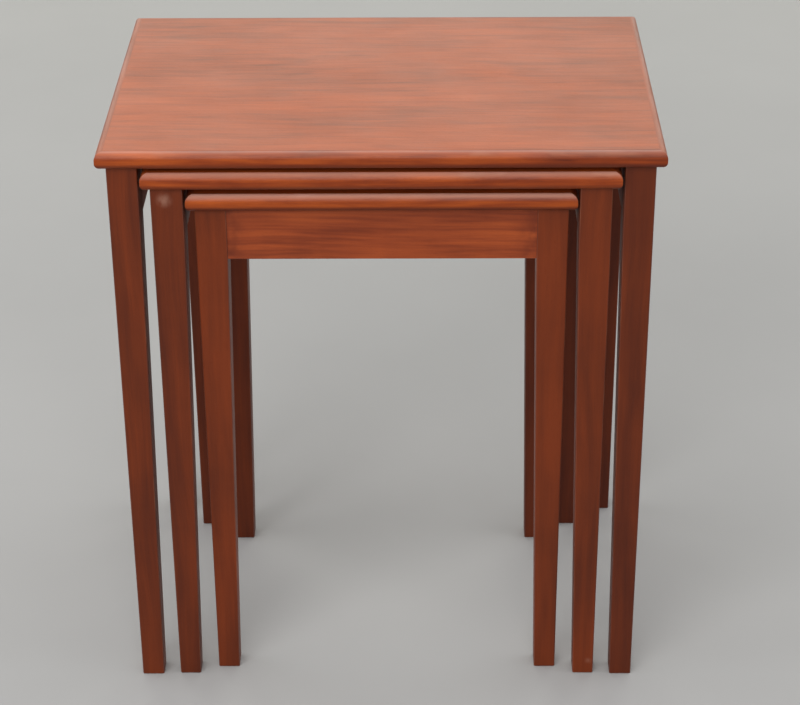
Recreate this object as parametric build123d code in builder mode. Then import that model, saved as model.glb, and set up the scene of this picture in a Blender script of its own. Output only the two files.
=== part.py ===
from build123d import *
from dataclasses import dataclass
import os

# A nest of three tables that stand one inside the other on a floor at Z = 0.
# X runs across the tables, -Y is the front, and the origin lies on the floor
# under the middle of the large table's top. All sizes are in millimetres.

# Large table
large_width = 560.0
large_depth = 380.0
large_height = 634.0
large_rail_height = 64.0

# Middle table, which stands inside the large one
middle_side_gap = 2.75      # air between its top and the large legs either side of it
middle_depth = 341.5
middle_setback = 2.5        # its front edge behind the large front edge
middle_drop = 5.9           # air between its top and the large top's underside
middle_rail_height = 60.0
middle_overhang = 8.5       # how far its top reaches past its legs
middle_leg_size = 32.0
middle_foot_size = 22.5

# Small table, which stands inside the middle one
small_side_gap = 1.75       # air between its top and the middle legs either side of it
small_depth = 298.0
small_setback = 12.5        # its front edge behind the middle front edge
small_drop = 10.8           # air between its top and the middle top's underside
small_rail_height = 56.0
small_overhang = 8.0        # how far its top reaches past its legs
small_leg_size = 31.5
small_foot_size = 23.0

# Tops: a flat board with a rounded solid lipping mitred round it
top_thickness = 18.0
lipping_width = 8.0
edge_round = 7.5            # rounding of the lipping's upper and lower outer edges
large_overhang = 9.5        # how far the large top reaches past its legs

# Legs: square, with both inner faces tapering below the rails
large_leg_size = 30.5
large_foot_size = 23.5
leg_ease = 1.5              # rounding of the four long edges
foot_chamfer = 1.0

# Rails under the top
rail_thickness = 18.0
end_rail_recess = 1.5       # front and back rails lie behind the outer leg faces
side_rail_recess = 1.0      # side rails lie behind the inner leg faces
rail_ease = 1.0

# Dowels that join each rail to its legs
dowel_diameter = 8.0
dowel_depth = 18.0          # how far a dowel reaches into the leg, and into the rail
side_dowel_margin = 10.0    # side rail dowels, from the rail's lower and upper edges
end_dowel_spacing = 14.0    # end rail dowels, one above the other

# Screws driven up through the rails into the top
screw_diameter = 4.0
screw_head_diameter = 8.0
screw_head_height = 2.5
screw_grip = 30.0           # length of screw inside the rail
screw_bite = 12.0           # length of screw inside the top
counterbore_diameter = 9.0


@dataclass
class Table:
    """One table of the nest, with the places its pieces are set out from."""

    name: str
    width: float
    depth: float
    height: float
    front: float
    rail_height: float
    overhang: float
    leg: float
    foot: float
    has_front_rail: bool = False

    @property
    def back(self):
        return self.front + self.depth

    @property
    def underside(self):
        return self.height - top_thickness

    @property
    def rail_bottom(self):
        return self.underside - self.rail_height

    @property
    def leg_outer_x(self):
        return self.width / 2 - self.overhang

    @property
    def leg_inner_x(self):
        return self.leg_outer_x - self.leg

    @property
    def side_rail_x(self):
        return self.leg_inner_x + side_rail_recess + rail_thickness / 2

    @property
    def side_rail_ends(self):
        inset = self.overhang + self.leg
        return (self.front + inset, self.back - inset)

    @property
    def end_rail_ys(self):
        inset = self.overhang + end_rail_recess + rail_thickness / 2
        ys = {"back": self.back - inset}
        if self.has_front_rail:
            ys["front"] = self.front + inset
        return ys


def nested(name, outer, side_gap, setback, drop, **sizes):
    """A table that stands inside the outer one, between its front legs."""
    return Table(
        name=name,
        width=2 * (outer.leg_inner_x - side_gap),
        height=outer.underside - drop,
        front=outer.front + setback,
        **sizes,
    )


def save(piece, name):
    piece.part.label = name
    export_step(piece.part, f"parts/{name}.step")


def make_dowels(table):
    """All rail dowels of one table, as separate solids."""
    low = table.rail_bottom + side_dowel_margin
    high = table.underside - side_dowel_margin
    middle = (table.rail_bottom + table.underside) / 2
    along_y = [
        (side * table.side_rail_x, y, z)
        for side in (-1, 1)
        for y in table.side_rail_ends
        for z in (low, high)
    ]
    along_x = [
        (side * table.leg_inner_x, y, middle + step * end_dowel_spacing / 2)
        for side in (-1, 1)
        for y in table.end_rail_ys.values()
        for step in (-1, 1)
    ]
    with BuildPart() as dowels:
        with Locations(*along_y):
            Cylinder(dowel_diameter / 2, 2 * dowel_depth, rotation=(90, 0, 0))
        with Locations(*along_x):
            Cylinder(dowel_diameter / 2, 2 * dowel_depth, rotation=(0, 90, 0))
    save(dowels, f"{table.name}_rail_dowels")
    return dowels


def screw_places(table):
    """X and Y of each screw: two along every rail, a quarter in from its ends."""
    start, end = table.side_rail_ends
    quarter = (end - start) / 4
    places = [(side * table.side_rail_x, y)
              for side in (-1, 1)
              for y in (start + quarter, end - quarter)]
    places += [(side * table.leg_inner_x / 2, y)
               for side in (-1, 1)
               for y in table.end_rail_ys.values()]
    return places


def make_screws(table):
    """All screws of one table, each with its head down inside the rail."""
    seat = table.underside - screw_grip
    with BuildPart() as screws:
        with Locations(*[(x, y, seat - screw_head_height) for x, y in screw_places(table)]):
            Cylinder(
                screw_head_diameter / 2, screw_head_height,
                align=(Align.CENTER, Align.CENTER, Align.MIN),
            )
        with Locations(*[(x, y, seat) for x, y in screw_places(table)]):
            Cylinder(
                screw_diameter / 2, screw_grip + screw_bite,
                align=(Align.CENTER, Align.CENTER, Align.MIN),
            )
    save(screws, f"{table.name}_top_screws")
    return screws


def make_top_panel(table, screws):
    with BuildPart() as panel:
        with Locations((0, (table.front + table.back) / 2, table.underside)):
            Box(
                table.width - 2 * lipping_width,
                table.depth - 2 * lipping_width,
                top_thickness,
                align=(Align.CENTER, Align.CENTER, Align.MIN),
            )
        add(screws.part, mode=Mode.SUBTRACT)
    save(panel, f"{table.name}_top_panel")


def make_lippings(table):
    """Four mitred strips round the top panel, rounded on their outer edges."""
    half = table.width / 2
    outer = [(-half, table.front), (half, table.front), (half, table.back), (-half, table.back)]
    half -= lipping_width
    front = table.front + lipping_width
    back = table.back - lipping_width
    inner = [(-half, front), (half, front), (half, back), (-half, back)]
    for i, side in enumerate(("front", "right", "back", "left")):
        j = (i + 1) % 4
        with BuildPart() as lipping:
            with BuildSketch(Plane.XY.offset(table.underside)):
                with BuildLine():
                    Polyline(outer[i], outer[j], inner[j], inner[i], close=True)
                make_face()
            extrude(amount=top_thickness)
            long_edges = lipping.edges().sort_by(Edge.length)[-4:]
            middle_y = (table.front + table.back) / 2
            outer_edges = long_edges.sort_by(
                lambda edge: abs(edge.center().X) + abs(edge.center().Y - middle_y)
            )[-2:]
            fillet(outer_edges, edge_round)
        save(lipping, f"{table.name}_top_lipping_{side}")


def make_leg(table, end, side, dowels):
    """A leg whose outer faces are plumb and whose inner faces taper to the foot."""
    side_sign = 1 if side == "right" else -1
    corner_x = side_sign * table.leg_outer_x
    if end == "front":
        corner_y = table.front + table.overhang
        inward_y = 1
    else:
        corner_y = table.back - table.overhang
        inward_y = -1

    def centre(size):
        return (corner_x - side_sign * size / 2, corner_y + inward_y * size / 2)

    with BuildPart() as leg:
        with BuildSketch():
            with Locations(centre(table.foot)):
                RectangleRounded(table.foot, table.foot, leg_ease)
        with BuildSketch(Plane.XY.offset(table.rail_bottom)):
            with Locations(centre(table.leg)):
                RectangleRounded(table.leg, table.leg, leg_ease)
        loft(ruled=True)
        with BuildSketch(Plane.XY.offset(table.rail_bottom)):
            with Locations(centre(table.leg)):
                RectangleRounded(table.leg, table.leg, leg_ease)
        extrude(amount=table.rail_height)
        chamfer(leg.faces().sort_by(Axis.Z)[0].edges(), foot_chamfer)
        add(dowels.part, mode=Mode.SUBTRACT)
    save(leg, f"{table.name}_leg_{end}_{side}")


def make_rail(table, name, x_span, y_span, dowels, screws):
    """A rail between two legs, bored for its dowels and for its top screws."""
    counterbore_depth = table.rail_height - screw_grip
    x_middle = sum(x_span) / 2
    y_middle = sum(y_span) / 2
    bores = [(x, y, table.rail_bottom) for x, y in screw_places(table)
             if x_span[0] < x < x_span[1] and y_span[0] < y < y_span[1]]
    with BuildPart() as rail:
        with Locations((x_middle, y_middle, table.rail_bottom)):
            Box(
                x_span[1] - x_span[0], y_span[1] - y_span[0], table.rail_height,
                align=(Align.CENTER, Align.CENTER, Align.MIN),
            )
        lower_edges = rail.edges().group_by(Axis.Z)[0].sort_by(Edge.length)[-2:]
        fillet(lower_edges, rail_ease)
        with Locations(*bores):
            Cylinder(
                counterbore_diameter / 2, counterbore_depth,
                align=(Align.CENTER, Align.CENTER, Align.MIN), mode=Mode.SUBTRACT,
            )
        add(dowels.part, mode=Mode.SUBTRACT)
        add(screws.part, mode=Mode.SUBTRACT)
    save(rail, f"{table.name}_{name}")


def make_rails(table, dowels, screws):
    half = rail_thickness / 2
    for side, sign in (("left", -1), ("right", 1)):
        x = sign * table.side_rail_x
        make_rail(table, f"side_rail_{side}", (x - half, x + half), table.side_rail_ends,
                  dowels, screws)
    for end, y in table.end_rail_ys.items():
        make_rail(table, f"{end}_rail", (-table.leg_inner_x, table.leg_inner_x),
                  (y - half, y + half), dowels, screws)


def make_table(table):
    dowels = make_dowels(table)
    screws = make_screws(table)
    make_top_panel(table, screws)
    make_lippings(table)
    make_rails(table, dowels, screws)
    for end in ("front", "back"):
        for side in ("left", "right"):
            make_leg(table, end, side, dowels)


os.makedirs("parts", exist_ok=True)

large = Table(
    name="large", width=large_width, depth=large_depth, height=large_height,
    front=-large_depth / 2, rail_height=large_rail_height,
    overhang=large_overhang, leg=large_leg_size, foot=large_foot_size,
)
middle = nested(
    "middle", large, middle_side_gap, middle_setback, middle_drop,
    depth=middle_depth, rail_height=middle_rail_height,
    overhang=middle_overhang, leg=middle_leg_size, foot=middle_foot_size,
)
small = nested(
    "small", middle, small_side_gap, small_setback, small_drop,
    depth=small_depth, rail_height=small_rail_height,
    overhang=small_overhang, leg=small_leg_size, foot=small_foot_size,
    has_front_rail=True,
)

for each_table in (large, middle, small):
    make_table(each_table)
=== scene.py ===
import math

import bpy
from mathutils import Matrix, Vector


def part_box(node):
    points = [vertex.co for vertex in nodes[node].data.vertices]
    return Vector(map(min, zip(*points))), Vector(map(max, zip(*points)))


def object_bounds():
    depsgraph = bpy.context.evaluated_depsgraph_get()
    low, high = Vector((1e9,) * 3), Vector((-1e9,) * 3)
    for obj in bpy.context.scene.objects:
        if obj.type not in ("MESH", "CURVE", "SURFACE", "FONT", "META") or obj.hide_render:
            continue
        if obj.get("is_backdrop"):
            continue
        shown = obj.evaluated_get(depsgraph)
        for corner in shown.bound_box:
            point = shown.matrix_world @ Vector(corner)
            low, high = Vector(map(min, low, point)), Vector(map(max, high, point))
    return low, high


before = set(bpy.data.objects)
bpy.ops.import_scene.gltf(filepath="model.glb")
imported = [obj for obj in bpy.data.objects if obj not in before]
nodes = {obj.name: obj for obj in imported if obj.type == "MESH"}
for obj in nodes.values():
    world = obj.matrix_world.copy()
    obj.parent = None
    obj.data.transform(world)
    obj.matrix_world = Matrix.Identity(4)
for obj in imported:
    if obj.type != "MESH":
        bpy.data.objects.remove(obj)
cad_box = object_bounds()

# ---------------------------------------------------------------- camera

CAMERA_PLACE = Vector((0.0397, -2.2159, 1.5318))
CAMERA_PITCH = math.radians(28.908)      # looking down
CAMERA_YAW = math.radians(0.625)         # turned to the left
CAMERA_ROLL = math.radians(-0.412)
CAMERA_LENS = 102.17                     # mm
CAMERA_SENSOR = 36.0                     # mm wide


def make_camera():
    data = bpy.data.cameras.new("camera")
    data.lens = CAMERA_LENS
    data.sensor_width = CAMERA_SENSOR
    camera = bpy.data.objects.new("camera", data)
    turn = Matrix.Rotation(CAMERA_YAW, 4, "Z")
    tilt = Matrix.Rotation(math.pi / 2 - CAMERA_PITCH, 4, "X")
    roll = Matrix.Rotation(CAMERA_ROLL, 4, "Z")
    camera.matrix_world = Matrix.Translation(CAMERA_PLACE) @ turn @ tilt @ roll
    bpy.context.scene.collection.objects.link(camera)
    bpy.context.scene.camera = camera


# ---------------------------------------------------------------- node graphs

class Graph:
    """Short calls that build the nodes of one material."""

    def __init__(self, name):
        self.material = bpy.data.materials.new(name)
        self.material.use_nodes = True
        self.tree = self.material.node_tree
        self.tree.nodes.clear()

    def node(self, kind, inputs, **settings):
        made = self.tree.nodes.new("ShaderNode" + kind)
        for name, value in settings.items():
            setattr(made, name, value)
        for key, value in inputs.items():
            if isinstance(value, bpy.types.NodeSocket):
                self.tree.links.new(value, made.inputs[key])
            else:
                made.inputs[key].default_value = value
        return made

    def places(self):
        """The frame's coordinates in metres, which stay with a piece when it moves."""
        return self.node("TexCoord", {}).outputs["Object"]

    def normal(self):
        """The unit normal, which stays with a piece when it moves."""
        return self.node("TexCoord", {}).outputs["Normal"]

    def up(self):
        """The upward part of the normal: 1 on flat tops, 0 on sides, -1 underneath."""
        return self.parts(self.normal())[2]

    def math(self, operation, a, b=0.0):
        return self.node("Math", {0: a, 1: b}, operation=operation).outputs[0]

    def sum(self, *terms):
        total = terms[0]
        for term in terms[1:]:
            total = self.math("ADD", total, term)
        return total

    def times(self, *factors):
        product = factors[0]
        for factor in factors[1:]:
            product = self.math("MULTIPLY", product, factor)
        return product

    def vector(self, operation, a, b=(0.0, 0.0, 0.0)):
        return self.node("VectorMath", {0: a, 1: b}, operation=operation).outputs[0]

    def distance(self, a, b):
        return self.node("VectorMath", {0: a, 1: b}, operation="DISTANCE").outputs["Value"]

    def parts(self, vector):
        return self.node("SeparateXYZ", {0: vector}).outputs

    def combine(self, x, y, z):
        return self.node("CombineXYZ", {0: x, 1: y, 2: z}).outputs[0]

    def remap(self, value, low, high, to_low=0.0, to_high=1.0):
        """A smooth step from to_low at low to to_high at high."""
        inputs = {0: value, 1: low, 2: high, 3: to_low, 4: to_high}
        return self.node("MapRange", inputs, interpolation_type="SMOOTHSTEP").outputs[0]

    def noise(self, vector, feature, detail=2.0):
        """Noise from 0 to 1 with features of the given size in metres along X, Y and Z."""
        per_metre = tuple(1.0 / size for size in feature)
        spread = self.vector("MULTIPLY", vector, per_metre)
        inputs = {"Vector": spread, "Scale": 1.0, "Detail": detail}
        return self.node("TexNoise", inputs).outputs[0]

    def centred(self, value, weight):
        """A value about 0.5 turned into one about 0, times weight."""
        return self.times(self.math("SUBTRACT", value, 0.5), weight)

    def ramp(self, factor, stops):
        made = self.node("ValToRGB", {0: factor})
        elements = made.color_ramp.elements
        while len(elements) < len(stops):
            elements.new(0.5)
        for element, (place, color) in zip(elements, stops):
            element.position = place
            element.color = (*color, 1.0)
        return made.outputs[0]

    def mix(self, factor, a, b):
        """Colour a where factor is 0 and colour b where it is 1."""
        return self.node("Mix", {0: factor, 6: a, 7: b}, data_type="RGBA").outputs[2]

    def surface(self, **inputs):
        named = {name.replace("_", " "): value for name, value in inputs.items()}
        shader = self.node("BsdfPrincipled", named)
        self.node("OutputMaterial", {0: shader.outputs[0]})
        return self.material


# ---------------------------------------------------------------- kinds of wood

# Colours are linear and sizes are in metres. colors are the darkest, the middle and the
# palest, which the wood has at the three tones of TONE_STOPS. broad, band and fine are
# layers of streaks: their length along the grain, their width across it, and their
# spread, which is the tone between their darkest and their palest. cloud is the spread
# of the soft patches, and pore is how dark the pores are.
WOODS = {
    "top_veneer": dict(
        colors=((0.196, 0.041, 0.0095), (0.324, 0.060, 0.0095), (0.418, 0.077, 0.0095)),
        broad=(0.36, 0.045, 0.52), band=(0.12, 0.0065, 0.70), fine=(0.045, 0.0032, 0.60),
        cloud=0.44, pore=0.20, roughness=0.40, specular=0.38,
    ),
    "lipping": dict(
        colors=((0.095, 0.0115, 0.0018), (0.235, 0.0350, 0.0036), (0.415, 0.077, 0.0080)),
        broad=(0.15, 0.022, 0.56), band=(0.060, 0.0055, 0.66), fine=(0.028, 0.0014, 0.24),
        cloud=0.50, pore=0.16, roughness=0.38, specular=0.28,
    ),
    "side_lipping": dict(
        colors=((0.160, 0.0300, 0.0070), (0.290, 0.0520, 0.0085), (0.390, 0.072, 0.0100)),
        broad=(0.15, 0.022, 0.42), band=(0.060, 0.0050, 0.60), fine=(0.028, 0.0014, 0.20),
        cloud=0.34, pore=0.12, roughness=0.40, specular=0.42,
    ),
    "rail": dict(
        colors=((0.105, 0.0145, 0.004), (0.262, 0.0455, 0.0105), (0.420, 0.082, 0.0165)),
        broad=(0.17, 0.026, 0.60), band=(0.090, 0.0070, 0.62), fine=(0.040, 0.0016, 0.28),
        cloud=0.50, pore=0.14, roughness=0.42, specular=0.28,
    ),
    "leg": dict(
        colors=((0.072, 0.0120, 0.0035), (0.118, 0.0195, 0.0038), (0.178, 0.029, 0.0048)),
        broad=(0.22, 0.022, 0.80), band=(0.17, 0.0070, 0.42), fine=(0.050, 0.0014, 0.20),
        cloud=0.55, pore=0.12, roughness=0.48, specular=0.24,
    ),
}
TONE_STOPS = (0.12, 0.50, 0.88)
MIDDLE_TONE = 0.50

# tone added to one piece: (all over, more at its right than its left, more at its back); the
# last two are painted shade
PIECE_TONES = {
    "large_top_panel": (0.00, -0.09, -0.16),
    "large_top_lipping_front": (0.05, -0.22, 0.0),
    "middle_top_lipping_front": (0.09, -0.06, 0.0),
    "small_top_lipping_front": (0.19, -0.16, 0.0),
    "small_front_rail": (0.07, 0.0, 0.0),
    "large_leg_front_left": (0.05, 0.0, 0.0),
    "large_leg_front_right": (-0.10, 0.0, 0.0),
    "middle_leg_front_left": (-0.02, 0.0, 0.0),
    "middle_leg_front_right": (0.11, 0.0, 0.0),
    "small_leg_front_left": (0.12, 0.0, 0.0),
    "small_leg_front_right": (0.18, 0.0, 0.0),
}
BACK_LEG_TONE = (-0.20, 0.0, 0.0)
OTHER_TONE_SPREAD = 0.05                 # how far the remaining pieces differ in tone
OTHER_TONE_STEP = 2.4                    # radians of a sine from one piece to the next


def piece_tone(name, index):
    if "leg_back" in name:
        return BACK_LEG_TONE
    other = OTHER_TONE_SPREAD * math.sin(OTHER_TONE_STEP * index)
    return PIECE_TONES.get(name, (other, 0.0, 0.0))


# ---------------------------------------------------------------- figure of the wood

# Each piece is cut from its own place in a log. In grain coordinates X runs along the
# grain, and the feature sizes below are along, across and across.
GRAIN_ORDER = {"X": (0, 1, 2), "Y": (1, 0, 2), "Z": (2, 0, 1)}
LOG_STEP = Vector((1.37, 0.41, 0.53))    # from one piece's place in the log to the next
PITH = Vector((0.0, 0.085, 0.060))       # from a piece to the centre of its log
DRIFT_PER_METRE = (3.2, 9.0, 9.0)        # how often the grain wanders
DRIFT_REACH = (0.0, 0.030, 0.030)        # how far it wanders
NOISE_MIDDLE = (0.5, 0.5, 0.5)
RING_LENGTH = 0.35
RING_WIDTH = 0.0045
RING_SHARE = 0.7                         # spread of the rings beside that of the bands
CLOUD = (0.11, 0.055, 0.055)
RIPPLE = (0.014, 0.07, 0.07)             # faint bars across the grain
RIPPLE_SPREAD = 0.08
PORE = (0.0055, 0.00042, 0.00042)        # short dark dashes
PORE_RANGE = (0.62, 0.78)                # noise values where a pore starts and is full


def grain_space(g, along, index):
    """Coordinates with X along the grain, moved to the piece's place in the log."""
    places = g.parts(g.places())
    turned = g.combine(*(places[i] for i in GRAIN_ORDER[along]))
    straight = g.vector("ADD", turned, LOG_STEP * index)
    drift = g.node("TexNoise", {
        "Vector": g.vector("MULTIPLY", straight, DRIFT_PER_METRE),
        "Scale": 1.0, "Detail": 1.0,
    }).outputs["Color"]
    away = g.vector("SUBTRACT", drift, NOISE_MIDDLE)
    return g.vector("ADD", straight, g.vector("MULTIPLY", away, DRIFT_REACH))


def streaks(g, grain, layer):
    length, width, spread = layer
    return g.centred(g.noise(grain, (length, width, width)), spread)


def rings(g, grain, index, spread):
    """Growth bands: shells about the centre of the log, uneven along it."""
    pith = LOG_STEP * index + PITH
    away = g.parts(g.vector("SUBTRACT", grain, (0.0, pith.y, pith.z)))
    radius = g.math("SQRT", g.sum(g.times(away[1], away[1]), g.times(away[2], away[2])))
    shells = g.combine(away[0], radius, 0.0)
    return g.centred(g.noise(shells, (RING_LENGTH, RING_WIDTH, 1.0)), spread)


def figure(g, grain, look, index):
    """Every layer of the figure, as changes of tone."""
    return (
        streaks(g, grain, look["broad"]),
        rings(g, grain, index, look["band"][2] * RING_SHARE),
        streaks(g, grain, look["band"]),
        streaks(g, grain, look["fine"]),
        g.centred(g.noise(grain, CLOUD), look["cloud"]),
        g.centred(g.noise(grain, RIPPLE), RIPPLE_SPREAD),
    )


def painted_shade_slopes(g, own_tone, box):
    """Painted shade across a piece: changes of tone from left to right and from front to
    back.
    """
    slopes = []
    for i in (0, 1):
        per_metre = own_tone[i + 1] / (box[1][i] - box[0][i])
        slopes.append(g.times(off_centre(g, box, i), per_metre))
    return slopes


# ---------------------------------------------------------------- places on a piece

def off_centre(g, box, i):
    """How far a point lies from the middle of a box along axis i."""
    return g.math("SUBTRACT", g.parts(g.places())[i], (box[0][i] + box[1][i]) / 2)


def past_end(g, box, i):
    """How far a point lies past the nearer end of a box along axis i, below 0 inside."""
    away = g.math("ABSOLUTE", off_centre(g, box, i))
    return g.math("SUBTRACT", away, (box[1][i] - box[0][i]) / 2)


def end_mask(g, along, box, reach):
    """1 at a piece's two ends along its grain, fading to 0 within reach."""
    return g.remap(past_end(g, box, "XYZ".index(along)), -reach, 0.0)


# Each range is where a mask leaves 0 and where it reaches 1.
EDGE_RANGE = (0.99, 0.80)                # of the normal's largest part
LEAVING_FLAT_TOP = (0.9995, 0.985)       # of its upward part, as the next two
UPPER_FULL = 0.98
LOWER_RANGE = (0.12, -0.50)
SEAM_WIDTH = 0.0007
SEAM_RANGE = (SEAM_WIDTH, SEAM_WIDTH / 3)
SIDE_SEAM = 0.10                         # how clear the joints at the sides are
MITRE_SEAM = 0.40                        # how clear the mitres are


def edge_mask(g):
    """1 on rounded edges, 0 on flat faces."""
    x, y, z = g.parts(g.vector("ABSOLUTE", g.normal()))
    largest = g.math("MAXIMUM", g.math("MAXIMUM", x, y), z)
    return g.remap(largest, *EDGE_RANGE)


def upper_mask(g, start):
    """1 where a rounded edge turns up past start, 0 on flat and lower faces."""
    return g.times(g.remap(g.up(), start, UPPER_FULL), g.remap(g.up(), *LEAVING_FLAT_TOP))


def lower_mask(g):
    """1 where a rounded edge turns down towards the floor."""
    return g.remap(g.up(), *LOWER_RANGE)


def seam_mask(g, panel_box):
    """1 on the joints along a top panel's front and back, fainter at its sides and mitres."""
    past = [past_end(g, panel_box, i) for i in (0, 1)]

    def line(distance):
        return g.remap(g.math("ABSOLUTE", distance), *SEAM_RANGE)

    at_side = g.math("GREATER_THAN", past[0], past[1])
    strength = g.remap(at_side, 0.0, 1.0, 1.0, SIDE_SEAM)
    joint = g.times(line(g.math("MAXIMUM", *past)), strength)
    outside = g.math("GREATER_THAN", g.math("MINIMUM", *past), 0.0)
    mitre = g.times(line(g.math("SUBTRACT", *past)), outside, MITRE_SEAM)
    return g.math("MAXIMUM", joint, mitre)


# ---------------------------------------------------------------- stain, wear, painted shade and painted highlights

RAIL_TOP_SHADE = 0.30                    # painted shade on a rail's upper edge, under the tabletop
RAIL_UNSHADED_HEIGHT = 0.010                # unshaded above a rail's lower edge
RAIL_END_SHADE = 0.75                    # painted shade where a rail meets its legs
RAIL_END_REACH = 0.024                   # how far that fades along the rail
END_SHADE_PATCH = (0.010, 0.012, 0.012)
END_SHADE_PATCH_RANGE = (0.15, 0.75)

WEAR_AND_HIGHLIGHT_PATCH = (0.05, 0.02, 0.02)           # edges are worn, and the painted highlights are uneven, in patches of this size
WEAR_AND_HIGHLIGHT_PATCH_RANGE = (0.48, 0.70)
# worn rounded edges, paler and more orange: partly wear and partly a painted highlight
EDGE_WEAR_AND_HIGHLIGHT = 0.30
WORN_AND_HIGHLIGHT_WOOD = (0.30, 0.105, 0.045, 1.0)
FRONT_HIGHLIGHT_WOOD = (0.76, 0.420, 0.335, 1.0)  # painted highlight on the upper roundings of the tops' front edges
HIGHLIGHT_START = 0.42                         # upward part of the normal where the painted highlight starts
HIGHLIGHT_LEAST = 0.80                         # share of the painted highlight outside the patches
# each top's front edge: how strong the painted highlight on its upper rounding is, and the
# painted shade on its lower one
FRONT_EDGE_PAINTED_LIGHT = {"large": (0.26, 0.66), "middle": (0.58, 0.48), "small": (1.00, 0.80)}

# a pale spot on one piece: its middle, how far it reaches, how strong it is
PALE_SPOTS = {
    "middle_leg_front_left": ((-0.2150, -0.1790, 0.5795), 0.0105, 0.58),
    "middle_leg_front_right": ((0.2235, -0.1790, 0.0170), 0.0055, 0.26),
}
PALE_SPOT_WOOD = (0.34, 0.170, 0.120, 1.0)
PALE_SPOT_PATCH = (0.006, 0.006, 0.009)
PALE_SPOT_PATCH_RANGE = (0.15, 0.60)

SEAM_COLOR = (0.06, 0.012, 0.006, 1.0)
SEAM_DARKNESS = 0.20
SEAM_DEPTH = 0.50                        # beside the other heights of the bump


def shade_rail(g, color, dark, grain, along, box):
    """Painted shade along the top of a rail, under the tabletop, and, in patches, at its ends
    by the legs.
    """
    low, high = box
    height = g.parts(g.places())[2]
    under_top = g.remap(height, low[2] + RAIL_UNSHADED_HEIGHT, high[2])
    # painted shade: darker towards the rail's top
    color = g.mix(g.times(under_top, RAIL_TOP_SHADE), color, dark)
    # painted shade: darker at the rail's ends, in patches
    ends = end_mask(g, along, box, RAIL_END_REACH)
    patchy = g.remap(g.noise(grain, END_SHADE_PATCH), *END_SHADE_PATCH_RANGE)
    return g.mix(g.times(ends, patchy, RAIL_END_SHADE), color, dark)


def paint_front_edge_light(g, color, dark, wear_and_highlight_patches, table):
    """A top's front edge: a pale painted highlight above and dark painted shade below."""
    highlight, shade = FRONT_EDGE_PAINTED_LIGHT[table]
    uneven = g.remap(wear_and_highlight_patches, 0.0, 1.0, HIGHLIGHT_LEAST, 1.0)
    highlit = g.times(upper_mask(g, HIGHLIGHT_START), highlight, uneven)
    # painted highlight: pale wood on the upper rounding
    color = g.mix(highlit, color, FRONT_HIGHLIGHT_WOOD)
    # painted shade: darker on the lower rounding
    return g.mix(g.times(lower_mask(g), shade), color, dark)


def pale_spot(g, color, middle, reach, strength):
    """A broken soft spot about a place on the piece."""
    here = g.places()
    broken = g.remap(g.noise(here, PALE_SPOT_PATCH), *PALE_SPOT_PATCH_RANGE)
    spot = g.remap(g.distance(here, middle), reach, 0.0)
    return g.mix(g.times(spot, broken, strength), color, PALE_SPOT_WOOD)


# ---------------------------------------------------------------- surface of the wood

FIBRES = ((0.020, 0.0009, 0.0009), 0.35)  # size, and height in the bump
LUMPS = ((0.004, 0.004, 0.004), 0.30)
PORE_DEPTH = 0.30
BUMP_STRENGTH = 0.45
BUMP_DISTANCE = 0.00025

SMUDGES = ((0.09, 0.06, 0.06), 0.16)     # size, and spread of roughness
BRUSHING = ((0.05, 0.002, 0.002), 0.10)
WEAR_ROUGHNESS = 0.35
PORE_ROUGHNESS = 0.10

EDGE_COAT = 0.35                         # lacquer pooled on rounded edges
SIDE_EDGE_COAT = 0.12
FRONT_COAT_START = 0.82                  # upward part of the normal where it starts
COAT_ROUGHNESS = 0.55
COAT_IOR = 1.9


def relief(g, grain, pores):
    fibre_size, fibre_height = FIBRES
    lump_size, lump_height = LUMPS
    return g.sum(
        g.centred(g.noise(grain, fibre_size), fibre_height),
        g.times(pores, -PORE_DEPTH),
        g.centred(g.noise(grain, lump_size, detail=1.0), lump_height),
    )


def gloss(g, grain, base, wear_and_highlight, pores):
    """Roughness of the lacquer, uneven and duller where it is worn."""
    smudge_size, smudge_spread = SMUDGES
    brush_size, brush_spread = BRUSHING
    return g.sum(
        base,
        g.centred(g.noise(grain, smudge_size, detail=3.0), smudge_spread),
        g.centred(g.noise(grain, brush_size), brush_spread),
        g.times(wear_and_highlight, WEAR_ROUGHNESS),
        g.times(pores, PORE_ROUGHNESS),
    )


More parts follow.
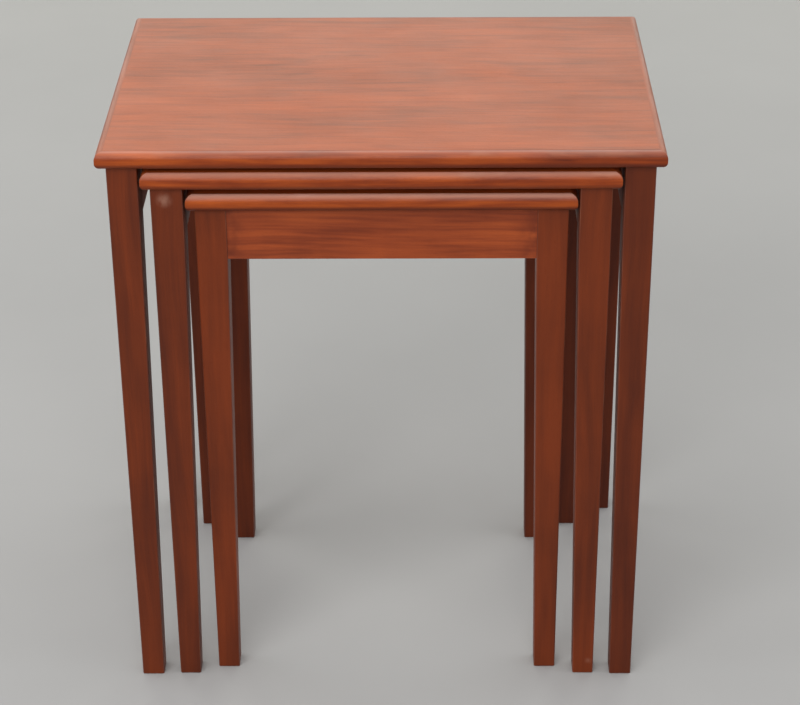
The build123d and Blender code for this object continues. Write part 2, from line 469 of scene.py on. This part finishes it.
def make_wood(name, kind, along, index, box, panel_box=None):
    look = WOODS[kind]
    dark = (*look["colors"][0], 1.0)
    g = Graph(f"{kind}_{name}")
    grain = grain_space(g, along, index)
    own_tone = piece_tone(name, index)
    tone = g.sum(
        MIDDLE_TONE + own_tone[0],
        # the slopes across the piece are painted shade
        *painted_shade_slopes(g, own_tone, box),
        *figure(g, grain, look, index),
    )
    color = g.ramp(tone, tuple(zip(TONE_STOPS, look["colors"])))
    pores = g.remap(g.noise(grain, PORE, detail=0.0), *PORE_RANGE)
    color = g.mix(g.times(pores, look["pore"]), color, dark)
    if kind == "rail":
        color = shade_rail(g, color, dark, grain, along, box)

    edges = edge_mask(g)
    wear_and_highlight_patches = g.remap(g.noise(grain, WEAR_AND_HIGHLIGHT_PATCH, detail=3.0), *WEAR_AND_HIGHLIGHT_PATCH_RANGE)
    # worn edges, partly a painted highlight on the rounded edges
    wear_and_highlight = g.times(edges, wear_and_highlight_patches, EDGE_WEAR_AND_HIGHLIGHT)
    color = g.mix(wear_and_highlight, color, WORN_AND_HIGHLIGHT_WOOD)
    if name.endswith("lipping_front"):
        # painted highlight and painted shade on the front edges
        color = paint_front_edge_light(g, color, dark, wear_and_highlight_patches, name.split("_")[0])
        coat = upper_mask(g, FRONT_COAT_START)
    else:
        coat = g.times(edges, SIDE_EDGE_COAT if kind == "side_lipping" else EDGE_COAT)
    if name in PALE_SPOTS:
        # a paler patch about a given place on the piece
        color = pale_spot(g, color, *PALE_SPOTS[name])

    height = relief(g, grain, pores)
    if panel_box:
        seam = seam_mask(g, panel_box)
        color = g.mix(g.times(seam, SEAM_DARKNESS), color, SEAM_COLOR)
        height = g.sum(height, g.times(seam, -SEAM_DEPTH))
    bump = g.node("Bump", {
        "Height": height, "Strength": BUMP_STRENGTH, "Distance": BUMP_DISTANCE,
    })
    return g.surface(
        Base_Color=color, Normal=bump.outputs[0],
        Roughness=gloss(g, grain, look["roughness"], wear_and_highlight, pores),
        Specular_IOR_Level=look["specular"],
        Coat_Weight=coat, Coat_Roughness=COAT_ROUGHNESS, Coat_IOR=COAT_IOR,
    )


# ---------------------------------------------------------------- hidden fittings

# colours by the value of the noise, and roughness from its low to its high values
NOISE_RANGE = (0.2, 0.8)
BEECH_FLECK = (0.003, 0.003, 0.003)
BEECH_COLORS = ((0.3, (0.44, 0.27, 0.14)), (0.7, (0.60, 0.41, 0.24)))
BEECH_ROUGHNESS = (0.60, 0.75)
BEECH_BUMP_STRENGTH = 0.3
BEECH_BUMP_DISTANCE = 0.0001
ZINC_PATCH = (0.0015, 0.0015, 0.0015)
ZINC_COLORS = ((0.3, (0.40, 0.40, 0.38)), (0.7, (0.60, 0.59, 0.55)))
ZINC_ROUGHNESS = (0.30, 0.48)


def make_beech():
    """Bare turned beech, for the dowels."""
    g = Graph("beech")
    tone = g.noise(g.places(), BEECH_FLECK, detail=3.0)
    bump = g.node("Bump", {
        "Height": tone, "Strength": BEECH_BUMP_STRENGTH, "Distance": BEECH_BUMP_DISTANCE,
    })
    return g.surface(
        Base_Color=g.ramp(tone, BEECH_COLORS), Normal=bump.outputs[0],
        Roughness=g.remap(tone, *NOISE_RANGE, *BEECH_ROUGHNESS),
    )


def make_zinc():
    """Dull zinc plate, for the screws."""
    g = Graph("zinc")
    patches = g.noise(g.places(), ZINC_PATCH, detail=3.0)
    return g.surface(
        Base_Color=g.ramp(patches, ZINC_COLORS), Metallic=1.0,
        Roughness=g.remap(patches, *NOISE_RANGE, *ZINC_ROUGHNESS),
    )


# ---------------------------------------------------------------- every CAD node

def wood_of(name):
    """The kind of wood a node is made of and the way its grain runs."""
    if name.endswith("top_panel"):
        return "top_veneer", "X"
    if "lipping" in name:
        return ("lipping", "X") if name.endswith(("front", "back")) else ("side_lipping", "Y")
    if "_leg_" in name:
        return "leg", "Z"
    return "rail", "Y" if "side_rail" in name else "X"


def dress_nodes():
    beech, zinc = make_beech(), make_zinc()
    for index, name in enumerate(sorted(nodes)):
        if name.endswith("dowels"):
            material = beech
        elif name.endswith("screws"):
            material = zinc
        else:
            kind, along = wood_of(name)
            panel_box = None
            if "_top_" in name:
                panel_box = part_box(name.split("_top_")[0] + "_top_panel")
            material = make_wood(name, kind, along, index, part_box(name), panel_box)
        nodes[name].data.materials[0] = material


# ---------------------------------------------------------------- studio

FLOOR_HALF = 8.0
FLOOR_PATCH = (0.5, 0.5, 0.5)
FLOOR_COLORS = ((0.2, (0.355, 0.355, 0.36)), (0.8, (0.39, 0.39, 0.395)))
FLOOR_ROUGHNESS = 0.9

# name, azimuth and elevation in degrees, distance, width and height in metres,
# radiance, tint. Azimuth 0 is the front and 90 the right.
PANELS = (
    ("overhead_sky", 0, 84, 2.9, 3.2, 3.2, 0.50, (1.0, 1.0, 1.0)),
    ("left_sky", -95, 34, 3.2, 2.6, 2.0, 1.5, (1.0, 0.99, 0.96)),
    ("right_sky", 95, 34, 3.2, 2.6, 2.0, 1.3, (1.0, 0.99, 0.96)),
    ("front_sky", -16, 36, 3.2, 3.0, 1.8, 4.0, (1.0, 0.985, 0.95)),
    ("back_wall", 180, 22, 3.4, 4.8, 2.5, 1.38, (1.0, 0.985, 0.84)),
)
WORLD_COLOR = (0.98, 0.98, 0.97, 1.0)
WORLD_STRENGTH = 0.5


def make_floor():
    half = FLOOR_HALF
    mesh = bpy.data.meshes.new("floor")
    corners = [(-half, -half, 0), (half, -half, 0), (half, half, 0), (-half, half, 0)]
    mesh.from_pydata(corners, [], [(0, 1, 2, 3)])
    floor = bpy.data.objects.new("floor", mesh)
    bpy.context.scene.collection.objects.link(floor)
    g = Graph("floor")
    color = g.ramp(g.noise(g.places(), FLOOR_PATCH, detail=4.0), FLOOR_COLORS)
    mesh.materials.append(g.surface(Base_Color=color, Roughness=FLOOR_ROUGHNESS))
    floor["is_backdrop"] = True


def make_panel(name, azimuth, elevation, distance, width, height, radiance, tint):
    """A soft rectangular light aimed at the middle of the nest."""
    low, high = cad_box
    centre = (Vector(low) + Vector(high)) / 2
    turn, lift = math.radians(azimuth), math.radians(elevation)
    away = Vector((
        math.sin(turn) * math.cos(lift), -math.cos(turn) * math.cos(lift), math.sin(lift)
    ))
    data = bpy.data.lights.new(name, "AREA")
    data.shape = "RECTANGLE"
    data.size, data.size_y = width, height
    data.energy = radiance * math.pi * width * height
    data.color = tint
    panel = bpy.data.objects.new(name, data)
    panel.location = centre + away * distance
    panel.rotation_euler = (-away).to_track_quat("-Z", "Y").to_euler()
    panel.visible_camera = False
    bpy.context.scene.collection.objects.link(panel)


def make_light():
    for panel in PANELS:
        make_panel(*panel)
    world = bpy.data.worlds.new("world")
    world.use_nodes = True
    background = world.node_tree.nodes["Background"]
    background.inputs["Color"].default_value = WORLD_COLOR
    background.inputs["Strength"].default_value = WORLD_STRENGTH
    bpy.context.scene.world = world
    bpy.context.scene.view_settings.view_transform = "Standard"


make_camera()
dress_nodes()
make_floor()
make_light()

sizes = {"cad": cad_box, "visual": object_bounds()}
for key, box in sizes.items():
    sizes[key] = [[round(value, 5) for value in corner] for corner in box]
